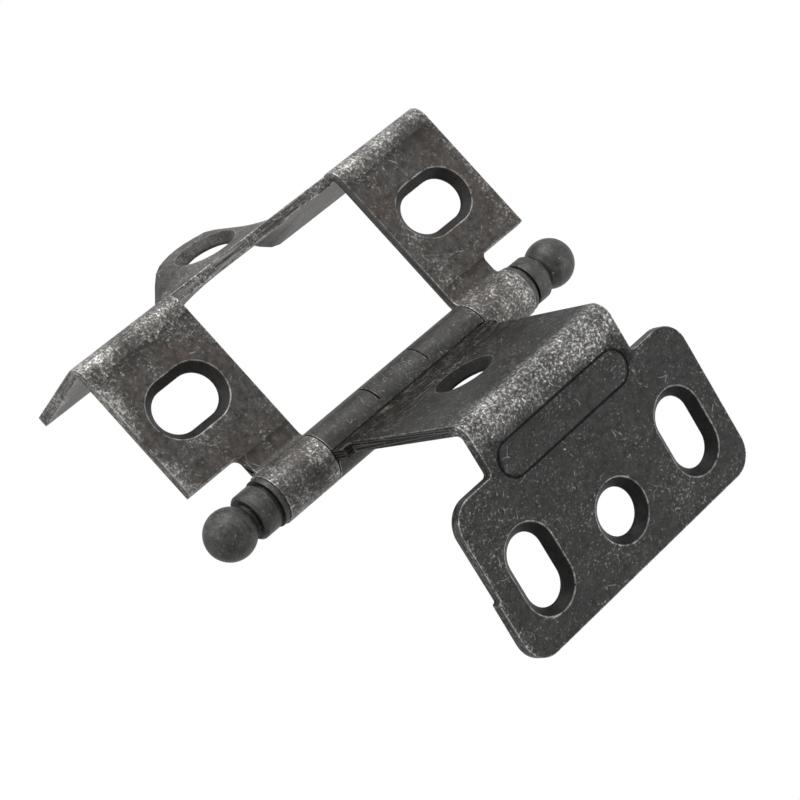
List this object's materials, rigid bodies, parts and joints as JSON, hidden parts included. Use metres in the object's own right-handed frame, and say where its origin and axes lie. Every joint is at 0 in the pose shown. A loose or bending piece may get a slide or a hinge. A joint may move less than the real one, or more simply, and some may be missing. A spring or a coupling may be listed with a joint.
{
  "type": "full inset hinge",
  "caption": "Full inset cabinet hinge: two folded sheet leaves with screw slots, rolled knuckles on a pin with ball tips, and a curved toe-screw ear.",
  "frame": {"origin": "centre of the frame leaf's two screw slots, on the face of the arms that lies on the wood", "axes": "+Z along the hinge pin, +Y from the pin into the cabinet, +X into the wood of the frame"},
  "size_m": [0.0376, 0.0592, 0.0574],
  "materials": {
    "dark_sheet": "dark wrought-iron finish with light flecks and worn edges",
    "turned_steel": "dark finish with fine turning marks",
    "pin_steel": "plain drawn steel"
  },
  "bodies": {
    "frame_side": {"frame_leaf": "dark_sheet", "hinge_pin": "pin_steel", "upper_finial": "turned_steel", "lower_finial": "turned_steel"},
    "door_side": {"door_leaf": "dark_sheet"}
  },
  "joints": [
    {"name": "door_swing", "type": "hinge", "parent": "frame_side", "child": "door_side", "pos_m": [-0.00053, -0.01325, 0], "axis": [0, 0, 1], "range_deg": [-110.2, 69.8]}
  ]
}
